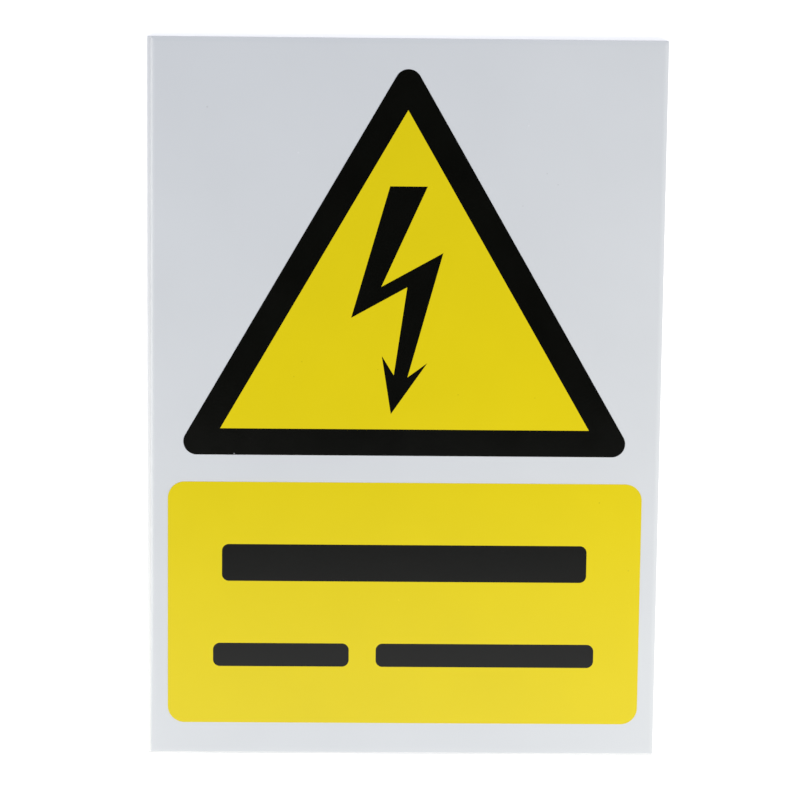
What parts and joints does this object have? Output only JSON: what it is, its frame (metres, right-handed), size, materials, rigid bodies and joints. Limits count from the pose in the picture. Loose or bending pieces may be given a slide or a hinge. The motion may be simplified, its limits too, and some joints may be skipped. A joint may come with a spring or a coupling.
{
  "type": "warning sign",
  "caption": "Flat rectangular warning sign: a lightning arrow in a black-bordered yellow triangle, above a yellow message panel with plain bars.",
  "frame": {"origin": "middle of the sign's whole outline, in the plane of the back face, on which it rests", "axes": "+X to the reader's right, +Y towards the top of the sign, +Z out of the printed face"},
  "size_m": [0.1492, 0.211, 0.0021],
  "materials": {
    "white_plastic": "glossy skin of a rigid board, with drawn-down sheared edges",
    "black_ink": "glossy printed ink",
    "yellow_ink": "glossy printed ink"
  },
  "bodies": {
    "root": {"sheet": "white_plastic", "black_border": "black_ink", "yellow_triangle": "yellow_ink", "lightning_arrow": "black_ink", "yellow_panel": "yellow_ink", "legend_upper_bar": "black_ink", "legend_left_bar": "black_ink", "legend_right_bar": "black_ink"}
  },
  "joints": []
}
